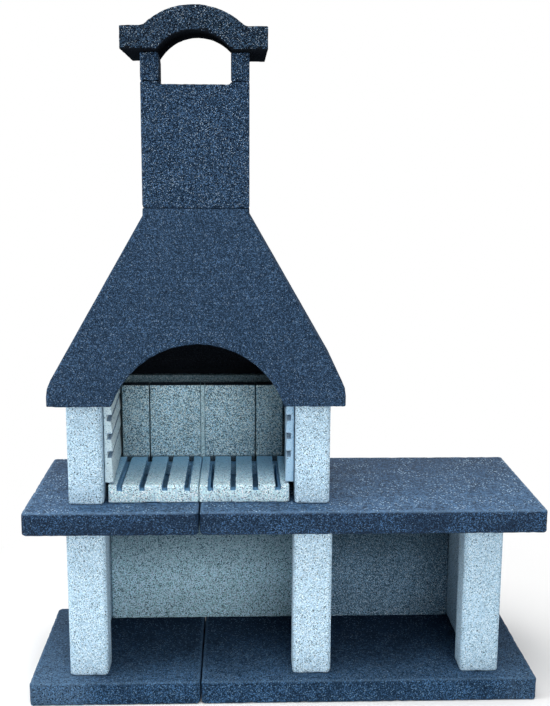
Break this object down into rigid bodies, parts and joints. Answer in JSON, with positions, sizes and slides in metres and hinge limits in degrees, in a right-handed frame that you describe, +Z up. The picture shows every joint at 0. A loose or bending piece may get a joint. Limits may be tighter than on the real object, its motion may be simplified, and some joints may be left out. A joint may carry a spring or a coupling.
{
  "type": "outdoor masonry barbecue",
  "caption": "Outdoor barbecue of concrete castings: storage bays under a long worktop, a brick-lined firebox with slotted grates, a tapered hood and a chimney with an arched cap.",
  "frame": {"origin": "on the ground, under the middle of the worktop's length and depth", "axes": "+Z up, +X to the right seen from the front, +Y from the front to the back"},
  "size_m": [1.6, 0.59, 2.1153],
  "materials": {
    "anthracite_slab": "smooth cast concrete with a fine glitter",
    "white_cast": "granular white concrete",
    "fire_concrete": "granular fire-proof concrete",
    "fire_mortar": "rough fire mortar",
    "anthracite_cast": "granular anthracite concrete"
  },
  "bodies": {
    "masonry": {"base_slab_left": "anthracite_slab", "base_slab_right": "anthracite_slab", "worktop_slab_left": "anthracite_slab", "worktop_slab_right": "anthracite_slab", "leg_left": "white_cast", "leg_middle": "white_cast", "leg_right": "white_cast", "back_panel_left": "white_cast", "back_panel_right": "white_cast", "firebox_side_left": "white_cast", "firebox_side_right": "white_cast", "firebox_rear_wall": "white_cast", "grill_rest_left": "white_cast", "grill_rest_right": "white_cast", "firebrick_outer_left": "fire_concrete", "firebrick_inner_left": "fire_concrete", "firebrick_inner_right": "fire_concrete", "firebrick_outer_right": "fire_concrete", "firebrick_joint_filler": "fire_mortar", "hood": "anthracite_cast", "chimney_flue": "anthracite_cast", "chimney_post_left": "anthracite_cast", "chimney_post_right": "anthracite_cast", "chimney_cap": "anthracite_cast"},
    "left_grate": {"fire_grate_left": "fire_concrete"},
    "right_grate": {"fire_grate_right": "fire_concrete"}
  },
  "joints": [
    {"name": "left_grate_slide", "type": "slide", "parent": "masonry", "child": "left_grate", "axis": [0, -1, 0], "range_m": [0, 0.2]},
    {"name": "right_grate_slide", "type": "slide", "parent": "masonry", "child": "right_grate", "axis": [0, -1, 0], "range_m": [0, 0.2]}
  ]
}
